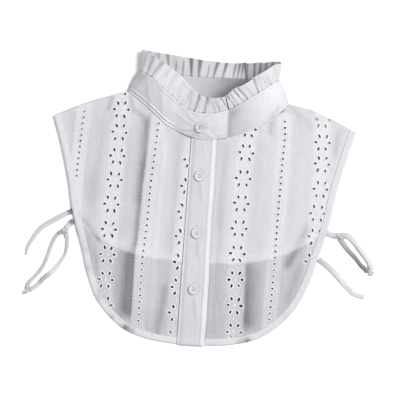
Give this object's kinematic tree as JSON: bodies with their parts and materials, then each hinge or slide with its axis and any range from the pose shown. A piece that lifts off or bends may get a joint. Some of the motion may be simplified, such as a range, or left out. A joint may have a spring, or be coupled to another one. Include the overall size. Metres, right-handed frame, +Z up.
{
  "type": "false collar",
  "caption": "Sleeveless cotton eyelet dickey laid flat: ruffled stand collar, button placket, bound curved front hem, shorter back and knotted tape ties at the sides.",
  "frame": {"origin": "centre of the outline without the ties, at the surface that it lies on", "axes": "+X to the viewer's right, across the shoulders; +Y from the hem towards the collar; +Z up, out of the garment's front"},
  "size_m": [0.369, 0.3077, 0.0344],
  "materials": {
    "eyelet_cotton": "matt woven cotton with embroidered eyelet stripes",
    "plain_cotton": "matt woven cotton",
    "button_resin": "polished white resin"
  },
  "bodies": {
    "root": {"back_panel": "eyelet_cotton", "back_binding": "plain_cotton", "front_left": "eyelet_cotton", "front_right": "eyelet_cotton", "placket": "plain_cotton", "binding_left": "plain_cotton", "binding_right": "plain_cotton", "collar_band": "plain_cotton", "collar_ruffle": "plain_cotton", "button_1": "button_resin", "button_2": "button_resin", "button_3": "button_resin", "button_4": "button_resin", "tie_left_back": "plain_cotton", "tie_left_root": "plain_cotton", "tie_left_outer": "plain_cotton", "tie_left_inner": "plain_cotton", "tie_right_root": "plain_cotton", "tie_right_upper": "plain_cotton", "tie_right_lower": "plain_cotton", "tie_right_front": "plain_cotton", "knot_left": "plain_cotton", "knot_left_end": "plain_cotton", "knot_right": "plain_cotton", "knot_right_end": "plain_cotton"}
  },
  "joints": []
}
